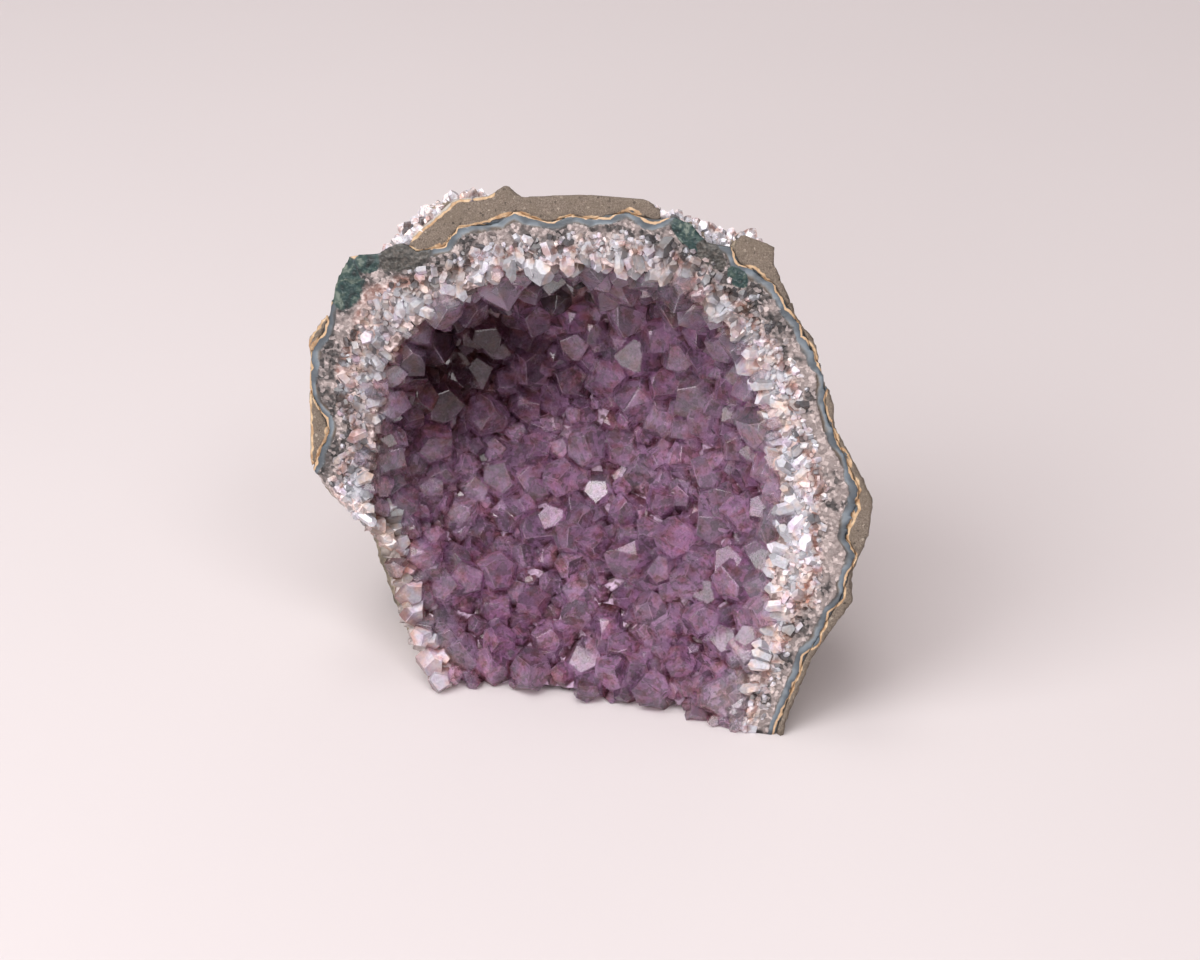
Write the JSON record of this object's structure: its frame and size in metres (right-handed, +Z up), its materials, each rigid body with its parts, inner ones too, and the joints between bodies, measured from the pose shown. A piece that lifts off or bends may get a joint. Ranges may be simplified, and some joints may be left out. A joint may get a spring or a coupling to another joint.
{
  "type": "amethyst geode section",
  "caption": "Standing section of an amethyst geode: a sawn rim of agate and quartz around a hollow lined with purple crystal points, on a flat sawn foot.",
  "frame": {"origin": "on the surface it stands on, below the middle of the whole piece", "axes": "+Z up, the sawn face looks along -Y and leans back, +X to the right seen from the front"},
  "size_m": [0.117, 0.0662, 0.1045],
  "materials": {
    "host_rock": "rough, matt grey-brown basalt",
    "geode_wall": "sawn banded agate and milky quartz, satin",
    "amethyst_crust": "glossy, see-through purple quartz crystals"
  },
  "bodies": {
    "root": {"host_rock": "host_rock", "geode_wall": "geode_wall", "amethyst_crust": "amethyst_crust"}
  },
  "joints": []
}
